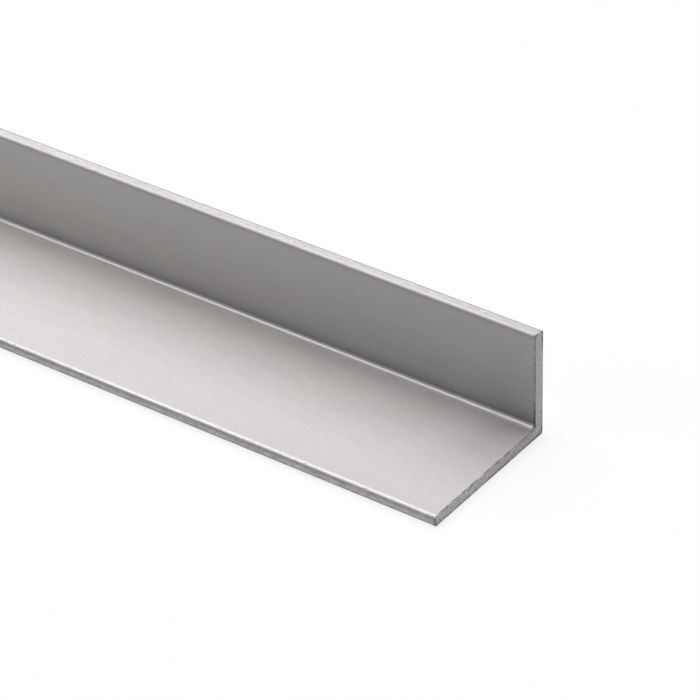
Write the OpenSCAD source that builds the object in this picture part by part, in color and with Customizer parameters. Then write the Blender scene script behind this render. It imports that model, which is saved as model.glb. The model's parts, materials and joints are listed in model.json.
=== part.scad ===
// Unequal-leg aluminium angle: one length of extruded stock, lying on its wide leg.
// X runs along the bar, Y across the wide leg towards the heel, and Z up.
// The origin is at the middle of the bar's underside.

/* [Legs] */
// Width of the lying leg, over the heel
leg_w = 30; // [15:1:80]
// Height of the standing leg, over the heel
leg_h = 20; // [12:1:80]
// Wall thickness of both legs
wall = 2; // [1.2:0.1:6]

/* [Edges] */
// Radius of the fillet in the inside corner
fillet_r = 0.8; // [0.2:0.1:5]
// Radius of the outside corner at the heel
heel_r = 0.5; // [0.1:0.1:3]
// Radius of both edges of the standing leg's toe and of the lying leg's upper toe edge
toe_r = 0.5; // [0.1:0.05:0.55]
// Radius of the lying leg's lower toe edge, which is nearly sharp
base_r = 0.15; // [0.05:0.05:0.55]

/* [Stock] */
// Length that the bar is sawn to
bar_l = 1000; // [50:10:6000]

/* [Hidden] */
// Number of facets that a full circle is drawn with
$fn = 64;
// How far a shape that shapes a corner reaches past that corner
overrun = wall / 4;
// Y of the heel's outer face, of the standing leg's inner face and of the lying leg's toe
heel_y = leg_w / 2;
inner_y = heel_y - wall;
toe_y = -leg_w / 2;

// Area between a square corner at the origin and the arc of radius r that rounds it,
// in the quadrant that dir points into
module corner_sliver(r, dir) {
    flip_x = dir[0] > 0 ? 0 : 1;
    flip_y = dir[1] > 0 ? 0 : 1;
    mirror([flip_x, 0]) mirror([0, flip_y])
        difference() {
            translate([-overrun, -overrun]) square(r + overrun);
            translate([r, r]) circle(r);
        }
}

// Both legs with sharp edges, and the fillet between them
module sharp_section() {
    translate([toe_y, 0]) square([leg_w, wall]);
    translate([inner_y, 0]) square([wall, leg_h]);
    translate([inner_y, wall]) corner_sliver(fillet_r, [-1, 1]);
}

// The section as the die leaves it, with its heel and its toes rounded
module section() {
    difference() {
        sharp_section();
        translate([heel_y, 0]) corner_sliver(heel_r, [-1, 1]);
        translate([toe_y, 0]) corner_sliver(base_r, [1, 1]);
        translate([toe_y, wall]) corner_sliver(toe_r, [1, -1]);
        translate([inner_y, leg_h]) corner_sliver(toe_r, [1, -1]);
        translate([heel_y, leg_h]) corner_sliver(toe_r, [-1, -1]);
    }
}

// The bar: the section along X, sawn square at both ends
module angle_profile() {
    color([0.80, 0.79, 0.78])
        rotate([90, 0, 90])
            linear_extrude(bar_l, center = true) section();
}

angle_profile();
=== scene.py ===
import json
import math

import bpy
import numpy as np
from mathutils import Matrix, Vector


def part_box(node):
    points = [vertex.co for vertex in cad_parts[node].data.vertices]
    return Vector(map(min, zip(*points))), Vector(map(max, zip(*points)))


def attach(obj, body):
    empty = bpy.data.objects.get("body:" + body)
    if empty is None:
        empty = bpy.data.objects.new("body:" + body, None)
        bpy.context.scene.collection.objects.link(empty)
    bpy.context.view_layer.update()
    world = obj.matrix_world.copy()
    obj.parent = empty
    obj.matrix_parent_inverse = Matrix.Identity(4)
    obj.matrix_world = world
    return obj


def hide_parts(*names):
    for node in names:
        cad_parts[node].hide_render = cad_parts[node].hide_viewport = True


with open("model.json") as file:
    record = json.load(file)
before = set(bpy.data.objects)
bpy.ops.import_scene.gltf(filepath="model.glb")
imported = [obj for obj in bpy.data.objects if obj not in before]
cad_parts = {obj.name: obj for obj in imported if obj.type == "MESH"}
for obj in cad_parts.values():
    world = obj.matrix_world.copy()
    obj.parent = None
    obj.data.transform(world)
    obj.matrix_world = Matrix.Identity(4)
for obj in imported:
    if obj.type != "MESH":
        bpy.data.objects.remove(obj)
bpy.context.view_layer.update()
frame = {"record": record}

MM = 0.001
NODE = "angle_profile"

# Sizes of the bar, from the frame. The wall is the height of the lying leg's upper face.
low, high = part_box(NODE)
mounts = {m["name"]: m for m in frame["record"]["mounts"]}
bar_l = high.x - low.x
leg_h = high.z - low.z
toe_y = low.y
heel_y = high.y
wall = mounts["ledge_face"]["pos_m"][2]
inner_y = heel_y - wall
half_l = bar_l / 2

# Radii of the section, as in the part.
FILLET_R = 0.8 * MM
HEEL_R = 0.5 * MM
TOE_R = 0.5 * MM
BASE_R = 0.15 * MM

# How finely the section is drawn. A flat starts and ends with a narrow step.
# A point that lies no more than a tiny length off a face counts as on it.
TOE_STEPS = 12
CORNER_STEPS = 16
WALL_ROWS = 12
FLAT_STEP = 0.2 * MM
NARROW_STEP = 0.05 * MM
TINY = 0.001 * MM

# Rings of the bar: how far those near an end lie from the cut, and how many lengths the rest is drawn in.
# In the bar's map these lengths are laid out as strips, with gaps between them and some space to spare.
END_RINGS = [0.05 * MM, 0.12 * MM, 0.25 * MM, 0.6 * MM, 3.0 * MM, 12.0 * MM]
MAP_STRIPS = 3
STRIP_LENGTHS = 8
MAP_GAP = 3 * MM
MAP_SPARE = 4 * MAP_GAP

# Relief of the skin: fine lines that the die leaves along the bar.
DIE_LINE_DEPTH = 0.002 * MM

# Relief of the arris that the saw tears: it is ragged, with chips, and falls off in a short bevel.
# The outer side of the wall is torn less than the inner one, and the underside by a least depth.
# The standing leg's inner edge is pushed out in a small lip.
TORN = 0.02 * MM
RAGGED = 0.06 * MM
RAGGED_WIDTH = 0.35 * MM
CHIP_DEPTH = 0.1 * MM
CHIP_DEPTH_SHARES = (0.3, 1.0)
CHIP_LENGTH = 0.5 * MM
CHIP_LENGTH_SHARES = (0.5, 1.5)
CHIP_SPACING = 2.2 * MM
OUTER_TORN_SHARE = 0.25
UNDER_TORN = 0.05 * MM
BEVEL_SHARE = 1.6
BEVEL_LEAST = 0.04 * MM
BEVEL_BEND = 1.5
LIP = 0.08 * MM
LIP_REACH = 0.2 * MM

# Relief of the sawn ends: the marks of the blade's teeth, which lean to the toe, and small spalls.
TOOTH_LEAN = math.radians(23)
TOOTH_PITCH = 0.7 * MM
TOOTH_DEPTH = 0.008 * MM
SPALL_DEPTH = 0.012 * MM

# Seed of all the random draws.
SEED = 7

# The dark burr along the cut: how dark it is, over what length that changes, and how far it reaches.
# It is full up to a share of its reach and fades over the rest. It is darkest low on the standing leg's
# inner face, in the inside corner, where the extra darkness is painted shade; that face counts here with
# part of the fillet, as the toe does with part of its rounded edges.
BURR_SHADE = 0.85
LEAST_BURR_SHARE = 0.1
TOE_BURR_SHADE = 0.62
BURR_CHANGE = 0.6 * MM
BURR_REACH = 0.2 * MM
LONG_BURR_REACH = 0.4 * MM
FILLET_BURR_REACH = 0.6 * MM
BURR_FADE = [0.5, 1]
LEDGE_BURR_SHARE = 1.15
TOP_BURR_SHARE = 1.6
UPSTAND_BURR_AND_SHADE_HEIGHTS = [3.5 * MM, 6 * MM]
UPSTAND_BURR_AND_SHADE_SHARES = [2.2, 0.7]
TOE_FRONT = TOE_R / 2
UPSTAND_FRONT = FILLET_R / 2
UPSTAND_FOOT = FILLET_R / 4

# The burr on the sawn end itself: darkest at the heel and dark along the bottom, partly as painted shade next
# to the floor; faint at the inner side, and fading over a few rows.
HEEL_REACHES = [0, 3 * MM, 8 * MM, 20 * MM]
HEEL_SHARES = [2.2, 1.6, 1.3, 1.0]
HEEL_BURR_AND_SHADE_REACHES = [1 * MM, 5 * MM]
HEEL_BURR_AND_SHADES = [0.95, 0]
BACK_RIM_HEIGHTS = [1.2 * MM, 2.5 * MM, 16 * MM, 19 * MM]
BACK_RIM_SHARES = [1, 0.3, 0.3, 1.8]
INNER_RIM_SHARE = 0.4
OUTER_RIM_SHARES = [1, 0.9, 0.45, 0.1, 0]
MOST_SHADE = 0.95

# How coarse the saw marks are on the end: fully up to the first height, and less from the second one up.
COARSE_HEIGHTS = [3 * MM, 6 * MM]
COARSE_SHARES = [1, 0.42]

# Wear of the toes' inner edges, which leaves them smoother and paler, the paleness partly a painted
# highlight: the turns from upright, in degrees, where it starts, is full and ends.
# The lying leg's toe and the standing leg's top are scuffed too.
WEAR_AND_HIGHLIGHT_TURNS = [14, 40, 60, 86]
STANDING_WEAR_AND_HIGHLIGHT_TURNS = [13, 39, 55, 76]
STANDING_TOE_WEAR_AND_HIGHLIGHT = 0.68
TOE_SCUFFS = 1.0
TOP_SCUFFS = 0.5

# The fillet is smooth over part of its turn in the same way, and a little less so away from the cut.
FILLET_TURNS = [25, 43, 70, 92]
FILLET_SMOOTH_REACHES = [50 * MM, 130 * MM]
FILLET_SMOOTH_SHARES = [1, 0.87]

# Tones of the skin round the section, where 1 is plain. Painted shade darkens the standing leg's inner face
# low down, the toe's face, and most of all the toe's lower edge next to the floor. Painted light makes the
# fillet paler where its highlight lies, and the lying leg paler beside it. The inner face is darker just
# below its top edge, the back edge of the top darker, and the top a little paler.
CORNER_REACHES = [0, 1.0 * MM, 2.5 * MM]
CORNER_SHADE_TONES = [0.75, 0.92, 1]
EDGE_REACH = 0.7 * MM
EDGE_TONE = 0.84
TOE_HEIGHTS = [0.15 * MM, 0.35 * MM, 0.75 * MM, 1.25 * MM, 1.5 * MM]
TOE_SHADE_TONES = [0.62, 0.91, 0.91, 0.68, 0.68]
TOP_TONE = 1.03
LEDGE_REACHES = [0, 2 * MM, 6 * MM, 10 * MM]
LEDGE_LIGHT_TONES = [1.1, 1.055, 1.03, 1]
FILLET_HIGHLIGHT_TONE = 1.065
FLOOR_EDGE_SHADE = 0.4
BACK_EDGE_TONE = 0.58

# The skin gets slowly darker towards its ends, as painted shade. Painted shade also darkens it beside the
# cut, most in the inside corner. The sawn end is darker towards that corner too.
ENDWARD_SHADE = 0.045
ENDWARD_SHADE_LENGTH = 104 * MM
CUT_SHADE = 0.24
CUT_SHADE_LENGTH = 12 * MM
CUT_SHADE_REACHES = [0, 4 * MM, 12 * MM, 24 * MM]
CUT_SHADE_SHARES = [1, 0.45, 0.25, 0]
END_DULL = 0.12
END_DULL_PLACES = [0, 5 * MM]
END_DULL_HEIGHTS = [wall, 3 * wall]
END_DULL_SHARES = [1, 0.2]


def spread(start, end):
    """Places from start to end about a flat step apart, with a narrow first and last step."""
    sign = 1 if end > start else -1
    inner_start = start + sign * NARROW_STEP
    inner_end = end - sign * NARROW_STEP
    count = max(2, round(abs(inner_end - inner_start) / FLAT_STEP))
    return np.concatenate([[start], np.linspace(inner_start, inner_end, count + 1), [end]])


def arc(centre, radius, first, last, steps):
    """Points along an arc, its angles in degrees."""
    turn = np.radians(np.linspace(first, last, steps + 1))
    return np.stack([centre[0] + radius * np.cos(turn), centre[1] + radius * np.sin(turn)], 1)


def line(first, last, steps):
    """Points along a straight line."""
    share = np.linspace(0, 1, steps + 1)[:, None]
    return np.array(first) * (1 - share) + np.array(last) * share


def section_columns():
    """The section as columns across the wall: the points of its outer side, and those of its inner side."""
    fillet_y = inner_y - FILLET_R
    fillet_z = wall + FILLET_R
    lying = spread(toe_y + TOE_R, fillet_y)[1:-1]
    standing = spread(fillet_z, leg_h - TOE_R)[1:-1]
    half = CORNER_STEPS // 2
    heel_steps = half // 2
    to_heel = line((fillet_y, 0), (heel_y - HEEL_R, 0), half - heel_steps)
    heel = arc((heel_y - HEEL_R, HEEL_R), HEEL_R, -90, 0, 2 * heel_steps)
    from_heel = line((heel_y, HEEL_R), (heel_y, fillet_z), half - heel_steps)
    outer = np.concatenate([
        arc((toe_y + BASE_R, BASE_R), BASE_R, 180, 270, TOE_STEPS),
        np.stack([lying, np.zeros_like(lying)], 1),
        to_heel[:-1],
        heel,
        from_heel[1:],
        np.stack([np.full_like(standing, heel_y), standing], 1),
        arc((heel_y - TOE_R, leg_h - TOE_R), TOE_R, 0, 90, TOE_STEPS),
    ])
    inner = np.concatenate([
        arc((toe_y + TOE_R, wall - TOE_R), TOE_R, 180, 90, TOE_STEPS),
        np.stack([lying, np.full_like(lying, wall)], 1),
        arc((fillet_y, fillet_z), FILLET_R, -90, 0, CORNER_STEPS),
        np.stack([np.full_like(standing, inner_y), standing], 1),
        arc((inner_y + TOE_R, leg_h - TOE_R), TOE_R, 180, 90, TOE_STEPS),
    ])
    return outer, inner


def across_wall(outer, inner):
    """Points from the outer to the inner side of the wall, by column and by row."""
    share = np.linspace(0, 1, WALL_ROWS + 1)[None, :, None]
    return outer[:, None] * (1 - share) + inner[:, None] * share


def outline_places(columns):
    """Column and row of each point round the section's outline, anticlockwise from the lying leg's toe."""
    last = columns - 1
    places = [(i, 0) for i in range(columns)]
    places += [(last, j) for j in range(1, WALL_ROWS)]
    places += [(i, WALL_ROWS) for i in range(last, -1, -1)]
    places += [(0, j) for j in range(WALL_ROWS - 1, 0, -1)]
    return places


def outer_side(outline):
    """Which points of the outline lie on the outer side of the wall."""
    return np.array([row == 0 for _, row in outline])


def outline_normals(rim):
    """Unit vectors that point out of a closed outline that runs anticlockwise."""
    along = np.roll(rim, -1, 0) - np.roll(rim, 1, 0)
    out = np.stack([along[:, 1], -along[:, 0]], 1)
    return out / np.linalg.norm(out, axis=1, keepdims=True)


def outline_lengths(rim):
    """How far round the outline each of its points lies, and at the end the whole way round."""
    steps = np.linalg.norm(np.roll(rim, -1, 0) - rim, axis=1)
    return np.concatenate([[0], np.cumsum(steps)])


def fillet_points(rim):
    """Which points of the outline lie in the fillet."""
    y, z = rim.T
    return (y > inner_y - FILLET_R) & (y < inner_y - TINY) & (z > wall + TINY) & (z < wall + FILLET_R)


def upstand_points(rim):
    """Which points of the outline lie on the flat of the standing leg's inner face."""
    return np.abs(rim[:, 0] - inner_y) < TINY


def ledge_points(rim):
    """Which points of the outline lie on the flat of the lying leg's upper face."""
    y, z = rim.T
    return (np.abs(z - wall) < TINY) & (y < inner_y)


def toe_points(rim):
    """Which points of the outline lie on the flat of the lying leg's toe."""
    return np.abs(rim[:, 0] - toe_y) < TINY


def top_points(rim):
    """Which points of the outline lie on the flat of the standing leg's top."""
    return np.abs(rim[:, 1] - leg_h) < TINY


def turned_share(out, turns):
    """1 where the outline is turned to the front by a middle amount, and 0 past the outer turns."""
    turn = np.degrees(np.arctan2(-out[:, 0], out[:, 1]))
    return np.interp(turn, turns, [0, 1, 1, 0])


def fillet_share(rim, out):
    """How smooth the outline is in the fillet."""
    return turned_share(out, FILLET_TURNS) * fillet_points(rim)


def wear_and_highlight_share(rim, out):
    """How much wear the outline has: the toes' inner edges are smoother and, partly as painted highlight,
    paler over part of their turn.
    """
    y, z = rim.T
    on_lying_toe = (y < toe_y + TOE_R) & (z > wall - TOE_R - TINY)
    on_standing_toe = (y < inner_y + TOE_R) & (z > leg_h - TOE_R - TINY)
    lying = turned_share(out, WEAR_AND_HIGHLIGHT_TURNS) * on_lying_toe
    return lying + STANDING_TOE_WEAR_AND_HIGHLIGHT * turned_share(out, STANDING_WEAR_AND_HIGHLIGHT_TURNS) * on_standing_toe


def scuffed_share(rim):
    """How scuffed the outline is: fully on the lying leg's toe, and less on the standing leg's top."""
    return TOE_SCUFFS * toe_points(rim) + TOP_SCUFFS * top_points(rim)


def tones(rim):
    """How bright the metal is round the outline, where 1 is plain."""
    y, z = rim.T
    tone = np.ones(len(rim))
    on_upstand = upstand_points(rim)
    # Painted shade: the standing leg's inner face is darkened low down, above the fillet.
    corner_shade = np.interp(z - wall - FILLET_R, CORNER_REACHES, CORNER_SHADE_TONES)
    high_band = np.interp(leg_h - TOE_R - z, [0, EDGE_REACH], [EDGE_TONE, 1])
    tone[on_upstand] = (corner_shade * high_band)[on_upstand]
    # Painted shade: the toe's face is darkened, most under its upper edge and near the floor.
    on_toe = toe_points(rim)
    tone[on_toe] = np.interp(z, TOE_HEIGHTS, TOE_SHADE_TONES)[on_toe]
    tone[top_points(rim)] = TOP_TONE
    # Painted shade: the toe's lower rounded edge is darkened next to the floor.
    tone[(y < toe_y + BASE_R) & (z < BASE_R - TINY)] = FLOOR_EDGE_SHADE
    # Painted light: the lying leg is paler beside the fillet.
    on_ledge = ledge_points(rim)
    tone[on_ledge] = np.interp(inner_y - FILLET_R - y, LEDGE_REACHES, LEDGE_LIGHT_TONES)[on_ledge]
    # Painted highlight: the fillet is paler.
    tone[fillet_points(rim)] = FILLET_HIGHLIGHT_TONE
    tone[(y > heel_y - TOE_R) & (z > leg_h - TOE_R)] = BACK_EDGE_TONE
    return tone


def tone_along(from_cut, rim):
    """How the skin's tone changes along the bar, by painted shade towards the ends and beside the cut. Toe
    and fillet have neither.
    """
    y, z = rim.T
    # Painted shade: the skin gets darker towards the ends.
    endward_shade = 1 + ENDWARD_SHADE * math.cos(math.pi * max(0, 1 - from_cut / ENDWARD_SHADE_LENGTH))
    from_corner = np.hypot(y - inner_y, z - wall)
    # Painted shade beside the cut, strongest in the inside corner.
    cut_shade = CUT_SHADE * np.interp(from_corner, CUT_SHADE_REACHES, CUT_SHADE_SHARES) * max(0, 1 - from_cut / CUT_SHADE_LENGTH)
    return np.where((y < toe_y + TOE_R) | fillet_points(rim), 1, endward_shade * (1 - cut_shade))


def end_tones(points):
    """How bright the sawn end is: darker towards the inside corner, and mostly on the lying leg."""
    y, z = points.T
    dull_across = np.interp(y, END_DULL_PLACES, [0, 1])
    return 1 - END_DULL * dull_across * np.interp(z, END_DULL_HEIGHTS, END_DULL_SHARES)


def smooth_noise(lengths, width, rng):
    """Random values from 0 to 1 round the outline that change over about that width."""
    round_way = lengths[-1]
    count = round(round_way / width)
    knots = rng.random(count)
    knots = np.append(knots, knots[0])
    return np.interp(lengths[:-1], np.linspace(0, round_way, count + 1), knots)


def torn_depths(lengths, rng):
    """How much of the arris the saw tore off at each point of the outline: a little everywhere, and chips."""
    depth = TORN + RAGGED * smooth_noise(lengths, RAGGED_WIDTH, rng) ** 2
    round_way = lengths[-1]
    for _ in range(round(round_way / CHIP_SPACING)):
        centre = rng.uniform(0, round_way)
        length = CHIP_LENGTH * rng.uniform(*CHIP_LENGTH_SHARES)
        deep = CHIP_DEPTH * rng.uniform(*CHIP_DEPTH_SHARES)
        away = np.abs(lengths[:-1] - centre)
        away = np.minimum(away, round_way - away)
        depth = np.maximum(depth, deep * np.clip(1 - (away / length) ** 2, 0, 1))
    return depth


def burr(rim, lengths, rng):
    """How dark the burr of the cut is round the outline, with painted shade in the inside corner, and how far
    along the bar it reaches.
    """
    y, z = rim.T
    noise = smooth_noise(lengths, BURR_CHANGE, rng)
    shade = BURR_SHADE * (LEAST_BURR_SHARE + (1 - LEAST_BURR_SHARE) * noise)
    shade[ledge_points(rim)] *= LEDGE_BURR_SHARE
    on_toe = y < toe_y + TOE_FRONT
    shade[on_toe] = np.where(z < wall - TOE_R, TOE_BURR_SHADE, 0)[on_toe]
    shade[z > leg_h - TOE_R] *= TOP_BURR_SHARE
    # Low on the standing leg's inner face the line is darker still: painted shade in the inside corner.
    on_upstand = (np.abs(y - inner_y) < UPSTAND_FRONT) & (z > wall + UPSTAND_FOOT)
    shade[on_upstand] *= np.interp(z, UPSTAND_BURR_AND_SHADE_HEIGHTS, UPSTAND_BURR_AND_SHADE_SHARES)[on_upstand]
    reach = np.where(on_upstand | on_toe, LONG_BURR_REACH, BURR_REACH)
    reach[fillet_points(rim)] = FILLET_BURR_REACH
    return np.minimum(shade, MOST_SHADE), reach


def end_burr(rim, outline, shade):
    """How dark the burr on the sawn end itself is at each point of the outline, partly painted shade next to
    the floor.
    """
    y, z = rim.T
    from_heel = np.hypot(y - heel_y, z)
    outside = shade * np.interp(from_heel, HEEL_REACHES, HEEL_SHARES)
    # Near the heel the end is darkened at least this much: partly painted shade where it meets the floor.
    outside = np.maximum(outside, np.interp(from_heel, HEEL_BURR_AND_SHADE_REACHES, HEEL_BURR_AND_SHADES))
    outside *= np.interp(z, BACK_RIM_HEIGHTS, BACK_RIM_SHARES)
    inside = INNER_RIM_SHARE * shade * (z < wall + FILLET_R)
    return np.minimum(np.where(outer_side(outline), outside, inside), MOST_SHADE)


def ring_places():
    """Places of the rings along the bar, from its left end to its right one."""
    near = [half_l - d for d in END_RINGS]
    between = np.linspace(-near[-1], near[-1], MAP_STRIPS * STRIP_LENGTHS + 1)[1:-1]
    return np.concatenate([[-half_l], [-x for x in near], between, near[::-1], [half_l]])


def tooth_marks(points, rng):
    """How deep the saw left each point of an end: the lines of its teeth, and small spalls."""
    across = points[:, 0] * math.cos(TOOTH_LEAN) + points[:, 1] * math.sin(TOOTH_LEAN)
    ridge = (1 + np.sin(2 * np.pi * across / TOOTH_PITCH)) / 2
    return TOOTH_DEPTH * ridge + SPALL_DEPTH * rng.random(len(points))


def ring_faces(rings, count):
    """Faces between each ring of points and the next one."""
    faces = []
    for r in range(rings - 1):
        for k in range(count):
            a = r * count + k
            b = r * count + (k + 1) % count
            faces.append((a, b, b + count, a + count))
    return faces


def end_faces(index, columns, side):
    """Faces of a sawn end that look outward, from the number of the point at each column and row."""
    faces = []
    for i in range(columns - 1):
        for j in range(WALL_ROWS):
            face = [index[i, j], index[i + 1, j], index[i + 1, j + 1], index[i, j + 1]]
            faces.append(tuple(face[::side]))
    return faces


def bar_mesh():
    """The bar as one closed mesh: its skin wears the first material, and its two sawn ends the second."""
    rng = np.random.default_rng(SEED)
    outer, inner = section_columns()
    columns = len(outer)
    grid = across_wall(outer, inner)
    outline = outline_places(columns)
    rim = np.array([grid[place] for place in outline])
    out = outline_normals(rim)
    lengths = outline_lengths(rim)
    count = len(rim)
    skin = rim - out * (DIE_LINE_DEPTH * rng.random(count))[:, None]
    torn_share = np.where(outer_side(outline), OUTER_TORN_SHARE, 1)
    least_torn = np.where(rim[:, 1] < TINY, UNDER_TORN, 0)
    torn = {side: np.maximum(torn_share * torn_depths(lengths, rng), least_torn) for side in (-1, 1)}
    shade, reach = burr(rim, lengths, rng)
    end_shade = end_burr(rim, outline, shade)
    lips = LIP * upstand_points(rim)
    section_tone = tones(rim)
    smooth = fillet_share(rim, out)
    same_all_along = {
        "worn": wear_and_highlight_share(rim, out),
        "scuffed": scuffed_share(rim),
        "upstand": upstand_points(rim),
        "end_burr": end_shade,
        "end_tone": end_tones(rim),
    }

    places = ring_places()
    points = []
    marks = []
    for x in places:
        depth = torn[1 if x > 0 else -1]
        from_cut = half_l - abs(x)
        fade = np.clip(1 - from_cut / (BEVEL_SHARE * depth + BEVEL_LEAST), 0, 1)
        lip = lips * max(0, 1 - from_cut / LIP_REACH)
        ring = skin + out * (lip - depth * fade ** BEVEL_BEND)[:, None]
        points.append(np.column_stack([np.full(count, x), ring]))
        marks.append({
            **same_all_along,
            "cut": shade * np.interp(from_cut / reach, BURR_FADE, [1, 0]),
            "tone": section_tone * tone_along(from_cut, rim),
            "fillet": smooth * np.interp(from_cut, FILLET_SMOOTH_REACHES, FILLET_SMOOTH_SHARES),
        })
    faces = ring_faces(len(places), count)
    skin_faces = len(faces)

    where = {place: k for k, place in enumerate(outline)}
    inside = [(i, j) for i in range(1, columns - 1) for j in range(1, WALL_ROWS)]
    rim_shade = np.array([end_shade[where[i, 0]] for i, _ in inside])
    rim_share = np.interp([j for _, j in inside], range(len(OUTER_RIM_SHARES)), OUTER_RIM_SHARES)
    start = len(places) * count
    for side, ring in ((1, len(places) - 1), (-1, 0)):
        edge = points[ring][:, 1:]
        lower = np.array([edge[where[i, 0]] for i in range(columns)])
        upper = np.array([edge[where[i, WALL_ROWS]] for i in range(columns)])
        cap = across_wall(lower, upper)
        middle = np.array([cap[place] for place in inside])
        depth = tooth_marks(middle, rng)
        points.append(np.column_stack([side * (half_l - depth), middle]))
        marks.append({
            **dict.fromkeys(marks[0], np.ones(len(inside))),
            "cut": np.zeros(len(inside)),
            "end_burr": rim_shade * rim_share,
            "end_tone": end_tones(middle),
        })
        index = {place: ring * count + k for place, k in where.items()}
        index.update({place: start + k for k, place in enumerate(inside)})
        start += len(inside)
        faces += end_faces(index, columns, side)

    points = np.concatenate(points)
    mesh = bpy.data.meshes.new("angle_bar")
    mesh.from_pydata(points.tolist(), [], faces)
    is_end = np.arange(len(faces)) >= skin_faces
    mesh.polygons.foreach_set("material_index", is_end.astype(np.int32))
    mesh.polygons.foreach_set("use_smooth", np.ones(len(faces), bool))
    mark_cut_sharp(mesh)
    for name in marks[0]:
        add_attribute(mesh, name, np.concatenate([values[name] for values in marks]))
    add_attribute(mesh, "coarse", np.interp(points[:, 2], COARSE_HEIGHTS, COARSE_SHARES))
    add_map(mesh, places, lengths, skin_faces)
    return mesh


def add_attribute(mesh, name, values):
    """Gives each point of the mesh a number that the materials read."""
    mesh.attributes.new(name, "FLOAT", "POINT").data.foreach_set("value", values.astype(np.float32))


def mark_cut_sharp(mesh):
    """Makes the edges between the skin and the sawn ends sharp."""
    wears = {}
    for face in mesh.polygons:
        for key in face.edge_keys:
            wears.setdefault(key, set()).add(face.material_index)
    sharp = [len(wears[edge.key]) > 1 for edge in mesh.edges]
    mesh.attributes.new("sharp_edge", "BOOLEAN", "EDGE").data.foreach_set("value", sharp)


def add_map(mesh, places, lengths, skin_faces):
    """Lays the skin out flat as strips one above another, with the two ends above them."""
    count = len(lengths) - 1
    lead = len(END_RINGS)
    strip_of = np.clip((np.arange(len(places) - 1) - lead) // STRIP_LENGTHS, 0, MAP_STRIPS - 1)
    strip_start = [places[np.argmax(strip_of == strip)] for strip in range(MAP_STRIPS)]
    round_way = lengths[-1]
    rise = round_way + MAP_GAP
    map_side = max(bar_l / MAP_STRIPS, MAP_STRIPS * rise + leg_h) + MAP_SPARE
    spots = []
    for face in mesh.polygons:
        if face.index < skin_faces:
            r, k = divmod(face.index, count)
            strip = strip_of[r]
            left, right = MAP_GAP - strip_start[strip] + places[r:r + 2]
            upper, lower = MAP_GAP + strip * rise + round_way - lengths[k:k + 2]
            spots += [(left, upper), (left, lower), (right, lower), (right, upper)]
        else:
            corners = [mesh.vertices[i].co for i in face.vertices]
            side_way = 1 if corners[0].x > 0 else -1
            aside = MAP_GAP + heel_y + (heel_y - toe_y + MAP_GAP) * (side_way > 0)
            spots += [(aside + side_way * p.y, MAP_GAP + MAP_STRIPS * rise + p.z) for p in corners]
    layer = mesh.uv_layers.new(name="OFBake")
    layer.uv.foreach_set("vector", (np.array(spots) / map_side).ravel())


# Sockets of the Mix node that take its two colours and give the mixed one.
MIX_FIRST = 6
MIX_SECOND = 7
MIX_RESULT = 2

# How many finer layers the noise has.
NOISE_DETAIL = 2.0


class Nodes:
    """A node tree that is written a node at a time."""

    def __init__(self, tree):
        self.tree = tree
        tree.nodes.clear()

    def add(self, kind, settings=None, **inputs):
        """A new node with its settings, and each named input set to a value or linked to a socket."""
        node = self.tree.nodes.new("ShaderNode" + kind)
        for name, value in (settings or {}).items():
            setattr(node, name, value)
        for name, value in inputs.items():
            self.put(node.inputs[name.replace("_", " ")], value)
        return node

    def put(self, socket, value):
        """Sets an input socket to a value, or links it to an output socket."""
        if isinstance(value, bpy.types.NodeSocket):
            self.tree.links.new(value, socket)
        else:
            socket.default_value = value

    def attribute(self, name):
        """The number that the mesh has under that name."""
        return self.add("Attribute", {"attribute_name": name}).outputs["Fac"]

    def math(self, operation, *values):
        """The result of an operation on values or sockets."""
        node = self.add("Math", {"operation": operation})
        for socket, value in zip(node.inputs, values):
            self.put(socket, value)
        return node.outputs[0]

    def span(self, value, low_value, high_value, from_low=0.0, from_high=1.0):
        """The value moved from one span of numbers to another, and held inside it."""
        node = self.add("MapRange", Value=value, To_Min=low_value, To_Max=high_value)
        self.put(node.inputs["From Min"], from_low)
        self.put(node.inputs["From Max"], from_high)
        return node.outputs["Result"]

    def mix(self, share, first, second, blend="MIX"):
        """The colour that goes from the first to the second as the share goes from 0 to 1."""
        node = self.add("Mix", {"data_type": "RGBA", "blend_type": blend})
        self.put(node.inputs["Factor"], share)
        self.put(node.inputs[MIX_FIRST], first)
        self.put(node.inputs[MIX_SECOND], second)
        return node.outputs[MIX_RESULT]

    def noise(self, place, size, lean=0.0):
        """Noise from about 0.2 to 0.8 with features of that size along X, Y and Z, turned about X."""
        scaled = self.add("Mapping", {"vector_type": "TEXTURE"}, Vector=place, Scale=size)
        self.put(scaled.inputs["Rotation"], (lean, 0, 0))
        turned = scaled.outputs["Vector"]
        return self.add("TexNoise", Vector=turned, Scale=1.0, Detail=NOISE_DETAIL).outputs["Fac"]

    def metal(self, colour, roughness, height, distance):
        """Ends the tree in metal of that colour and roughness, with fine bumps."""
        bump = self.add("Bump", Strength=1.0, Distance=distance, Height=height)
        shader = self.add("BsdfPrincipled", Base_Color=colour, Metallic=1.0, Roughness=roughness)
        self.put(shader.inputs["Normal"], bump.outputs["Normal"])
        self.add("OutputMaterial", Surface=shader.outputs["BSDF"])


def new_material(name):
    """A material and its empty node tree."""
    material = bpy.data.materials.new(name)
    material.use_nodes = True
    return material, Nodes(material.node_tree)


# Looks of the skin. Edges smoothed by wear are paler, partly as a painted highlight; the burr of the cut is
# dark, with painted shade in the inside corner, and the standing leg's inner face has painted shade.
SATIN_DARK = (0.642, 0.626, 0.618, 1)
SATIN_PALE = (0.756, 0.738, 0.728, 1)
# Pale colour of the edges smoothed by wear, partly a painted highlight.
PALE_WEAR_AND_HIGHLIGHT = (0.955, 0.945, 0.94, 1)
# Dark of the burr; low in the inside corner it is partly painted shade.
BURR_AND_SHADE_DARK = (0.14, 0.137, 0.135, 1)
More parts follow.
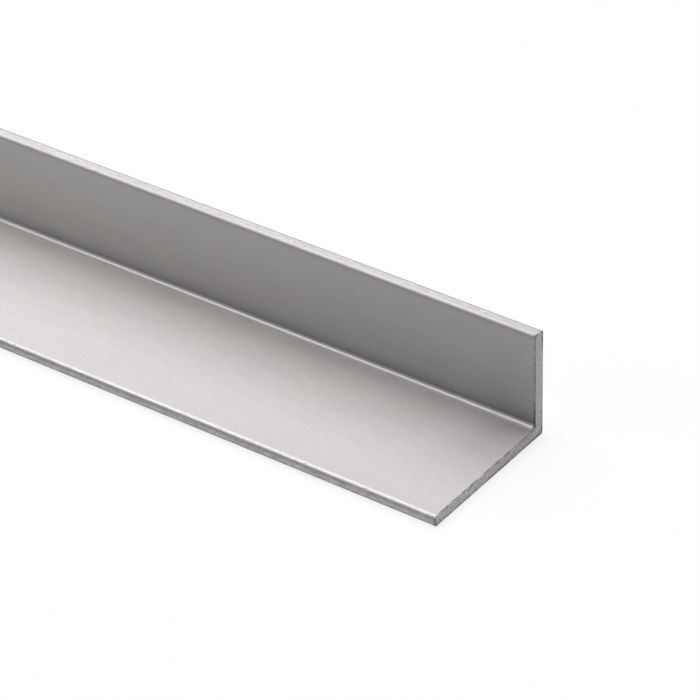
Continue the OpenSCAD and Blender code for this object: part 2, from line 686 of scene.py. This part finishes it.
# The standing leg's inner face gets a slight tint and is darkened by painted shade.
UPSTAND_SHADE_AND_TINT = (0.914, 0.923, 0.92, 1)
FLAT_ROUGHNESS = 0.795
WORN_ROUGHNESS = 0.31
FILLET_ROUGHNESS = 0.41
ROUGHNESS_SWING = 0.03
NOISE_LOW = 0.25
NOISE_HIGH = 0.75
DIE_LINE_SHARE = 0.1
GRAIN_SHARE = 0.62
CLOUD_SHARE = 0.28
DIE_LINE_SIZE = (150 * MM, 0.3 * MM, 0.3 * MM)
GRAIN_SIZE = (0.45 * MM, 0.35 * MM, 0.35 * MM)
CLOUD_SIZE = (8 * MM, 2.5 * MM, 2.5 * MM)
NICK_SIZE = (0.6 * MM, 0.25 * MM, 0.25 * MM)
NICKED_SHARE = 0.5
NICK_LOW = 0.28
NICK_HIGH = 0.44
SCUFF_SIZE = (0.9 * MM, 0.28 * MM, 0.28 * MM)
SCUFF_DARK = 0.78
SCUFF_PALE = 1.22
SKIN_BUMP = 0.015 * MM


def satin_aluminium():
    """Extruded and clear anodised: fine satin with faint lines along the bar, and smooth edges, paler partly
    as painted highlight.
    """
    material, nodes = new_material("satin_aluminium")
    place = nodes.add("TexCoord").outputs["Object"]
    nicks = nodes.span(nodes.noise(place, NICK_SIZE), NICKED_SHARE, 1.0, NICK_LOW, NICK_HIGH)
    worn = nodes.math("MULTIPLY", nodes.attribute("worn"), nicks)
    lines = nodes.math("MULTIPLY", nodes.noise(place, DIE_LINE_SIZE), DIE_LINE_SHARE)
    grainy = nodes.math("MULTIPLY_ADD", nodes.noise(place, GRAIN_SIZE), GRAIN_SHARE, lines)
    uneven = nodes.math("MULTIPLY_ADD", nodes.noise(place, CLOUD_SIZE), CLOUD_SHARE, grainy)
    flat = nodes.mix(nodes.span(uneven, 0.0, 1.0, NOISE_LOW, NOISE_HIGH), SATIN_DARK, SATIN_PALE)
    # Edges smoothed by wear are paler, partly as a painted highlight.
    highlit_wear = nodes.mix(worn, flat, PALE_WEAR_AND_HIGHLIGHT)
    # The skin's tone: painted shade and painted light round the section and along the bar.
    toned = nodes.mix(1.0, highlit_wear, nodes.attribute("tone"), "MULTIPLY")
    # Painted shade, with a slight tint, on the standing leg's inner face.
    upstand_shaded = nodes.mix(nodes.attribute("upstand"), toned, UPSTAND_SHADE_AND_TINT, "MULTIPLY")
    scuffs = nodes.span(nodes.noise(place, SCUFF_SIZE), SCUFF_DARK, SCUFF_PALE, NOISE_LOW, NOISE_HIGH)
    scuffed = nodes.mix(nodes.attribute("scuffed"), upstand_shaded, scuffs, "MULTIPLY")
    # The burr along the cut, partly painted shade in the inside corner.
    colour = nodes.mix(nodes.attribute("cut"), scuffed, BURR_AND_SHADE_DARK)
    rubbed_rough = nodes.span(worn, FLAT_ROUGHNESS, WORN_ROUGHNESS)
    rough = nodes.span(nodes.attribute("fillet"), rubbed_rough, FILLET_ROUGHNESS)
    swing = nodes.span(uneven, -ROUGHNESS_SWING, ROUGHNESS_SWING, NOISE_LOW, NOISE_HIGH)
    nodes.metal(colour, nodes.math("ADD", rough, swing), grainy, SKIN_BUMP)
    return material


# Looks of the sawn ends. Their colour swings about the middle between a dark and a pale one.
SAWN_DARK = (0.18, 0.175, 0.172, 1)
SAWN_PALE = (0.65, 0.631, 0.621, 1)
# Dark of the end's burr; at the heel and along the bottom it is partly painted shade next to the floor.
SAWN_BURR_AND_SHADE = (0.05, 0.049, 0.048, 1)
SAWN_NOISE_LOW = 0.34
SAWN_NOISE_HIGH = 0.66
SAWN_MIDDLE = 0.5
SAWN_SWING = 0.5
MOTTLE_SIZE = (0.4 * MM, 0.32 * MM, 0.32 * MM)
STROKE_SIZE = (0.4 * MM, 0.13 * MM, 1.1 * MM)
EACH_NOISE_SHARE = 0.5
SAWN_ROUGHNESS_DARK = 0.6
SAWN_ROUGHNESS_PALE = 0.45
SAWN_BUMP = 0.02 * MM


def sawn_aluminium():
    """Bare metal as the saw leaves it: mottled, with short strokes of its teeth and a dark burr, partly
    painted shade by the floor.
    """
    material, nodes = new_material("sawn_aluminium")
    place = nodes.add("TexCoord").outputs["Object"]
    mottle = nodes.noise(place, MOTTLE_SIZE)
    strokes = nodes.noise(place, STROKE_SIZE, TOOTH_LEAN)
    uneven = nodes.math("MULTIPLY", nodes.math("ADD", mottle, strokes), EACH_NOISE_SHARE)
    swing = nodes.span(uneven, -SAWN_SWING, SAWN_SWING, SAWN_NOISE_LOW, SAWN_NOISE_HIGH)
    share = nodes.math("MULTIPLY_ADD", swing, nodes.attribute("coarse"), SAWN_MIDDLE)
    bare = nodes.mix(share, SAWN_DARK, SAWN_PALE)
    toned = nodes.mix(1.0, bare, nodes.attribute("end_tone"), "MULTIPLY")
    # The end's burr, partly painted shade at the heel and along the bottom, next to the floor.
    colour = nodes.mix(nodes.attribute("end_burr"), toned, SAWN_BURR_AND_SHADE)
    nodes.metal(colour, nodes.span(share, SAWN_ROUGHNESS_DARK, SAWN_ROUGHNESS_PALE), uneven, SAWN_BUMP)
    return material


def add_bar():
    """The bar, which stands for the part's one node."""
    mesh = bar_mesh()
    mesh.materials.append(satin_aluminium())
    mesh.materials.append(sawn_aluminium())
    bar = bpy.data.objects.new("angle_bar", mesh)
    bpy.context.scene.collection.objects.link(bar)
    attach(bar, "root")
    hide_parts(NODE)


# The studio: its floor, its room, and its lamps with their angles in degrees and tints close to white.
WHITE = (1, 1, 1, 1)
FLOOR_HALF = 30.0
FLOOR_GAP = 0.02 * MM
FLOOR_PALE = (0.95, 0.95, 0.95, 1)
FLOOR_WHITE_SHARE = 0.75
ROOM_LEVEL = 0.03
LAMPS = {
    "key": dict(azimuth=209.5, elevation=68.6, width=65.7, radiance=3.22, tint=(1.0, 0.99, 1.0)),
    "front": dict(azimuth=-44, elevation=32.6, width=30, radiance=2.11, tint=(0.985, 1.0, 0.993)),
    "fill": dict(azimuth=80, elevation=35, width=50, radiance=0.5, tint=(1.0, 1.0, 1.0)),
}


def add_floor():
    """A pale floor that the camera and reflections see partly as white, which leaves a faint shadow."""
    height = low.z - FLOOR_GAP
    sides = [(-1, -1), (1, -1), (1, 1), (-1, 1)]
    mesh = bpy.data.meshes.new("floor")
    mesh.from_pydata([(x * FLOOR_HALF, y * FLOOR_HALF, height) for x, y in sides], [], [(0, 1, 2, 3)])
    material, nodes = new_material("floor")
    pale = nodes.add("BsdfDiffuse", Color=FLOOR_PALE)
    white = nodes.add("Emission", Color=WHITE, Strength=1.0)
    path = nodes.add("LightPath").outputs
    seen = nodes.math("ADD", path["Is Camera Ray"], path["Is Glossy Ray"])
    seen = nodes.math("ADD", seen, path["Is Transmission Ray"])
    shader = nodes.add("MixShader", Fac=nodes.math("MULTIPLY", seen, FLOOR_WHITE_SHARE))
    nodes.put(shader.inputs[1], pale.outputs["BSDF"])
    nodes.put(shader.inputs[2], white.outputs["Emission"])
    nodes.add("OutputMaterial", Surface=shader.outputs["Shader"])
    mesh.materials.append(material)
    floor = bpy.data.objects.new("floor", mesh)
    bpy.context.scene.collection.objects.link(floor)


def add_world():
    """A dim, even room."""
    world = bpy.data.worlds.new("studio")
    bpy.context.scene.world = world
    world.use_nodes = True
    nodes = Nodes(world.node_tree)
    room = nodes.add("Background", Color=WHITE, Strength=ROOM_LEVEL)
    nodes.add("OutputWorld", Surface=room.outputs["Background"])


def direction(azimuth, elevation):
    """Unit vector towards a place in the sky. Azimuth 0 is in front of the bar and 90 at its right end."""
    a = math.radians(azimuth)
    e = math.radians(elevation)
    return Vector((math.sin(a) * math.cos(e), -math.cos(a) * math.cos(e), math.sin(e)))


def add_sun(name, azimuth, elevation, width, radiance, tint):
    """A round soft light far away, width degrees across and of that radiance and tint."""
    light = bpy.data.lights.new(name, "SUN")
    light.color = tint
    light.angle = math.radians(width)
    light.energy = radiance * math.pi * math.sin(light.angle / 2) ** 2
    sun = bpy.data.objects.new(name, light)
    sun.rotation_mode = "QUATERNION"
    sun.rotation_quaternion = direction(azimuth, elevation).to_track_quat("Z", "Y")
    bpy.context.scene.collection.objects.link(sun)


# Camera, fitted to the photograph: angles in degrees, measures of the picture in pixels, lengths in metres.
# The sensor's width is in millimetres.
PICTURE = 700
CAMERA_AZIMUTH = 36.594
CAMERA_ELEVATION = 34.497
CAMERA_ROLL = -1.584
FOCAL_PIXELS = 3845.1
NEAR_HEEL_PIXEL = (542.48, 432.93)
NEAR_HEEL_DISTANCE = 616.26 * MM
SENSOR = 36.0
CLIP_NEAR = 10 * MM
CLIP_FAR = 100.0


def add_camera():
    """The camera that sees the near heel at its place in the picture."""
    back = direction(CAMERA_AZIMUTH, CAMERA_ELEVATION)
    a = math.radians(CAMERA_AZIMUTH)
    level = Vector((math.cos(a), math.sin(a), 0))
    roll = Matrix.Rotation(math.radians(CAMERA_ROLL), 3, back)
    right = roll @ level
    up = roll @ back.cross(level)
    scale = NEAR_HEEL_DISTANCE / FOCAL_PIXELS
    aside = (NEAR_HEEL_PIXEL[0] - PICTURE / 2) * scale
    above = (PICTURE / 2 - NEAR_HEEL_PIXEL[1]) * scale
    heel = Vector((high.x, high.y, low.z))
    data = bpy.data.cameras.new("camera")
    data.sensor_width = SENSOR
    data.lens = FOCAL_PIXELS * SENSOR / PICTURE
    data.clip_start = CLIP_NEAR
    data.clip_end = CLIP_FAR
    camera = bpy.data.objects.new("camera", data)
    place = heel - right * aside - up * above + back * NEAR_HEEL_DISTANCE
    camera.matrix_world = Matrix.Translation(place) @ Matrix((right, up, back)).transposed().to_4x4()
    bpy.context.scene.collection.objects.link(camera)
    bpy.context.scene.camera = camera


add_bar()
add_floor()
add_world()
for lamp_name, lamp in LAMPS.items():
    add_sun(lamp_name, **lamp)
add_camera()
bpy.context.scene.view_settings.view_transform = "Standard"
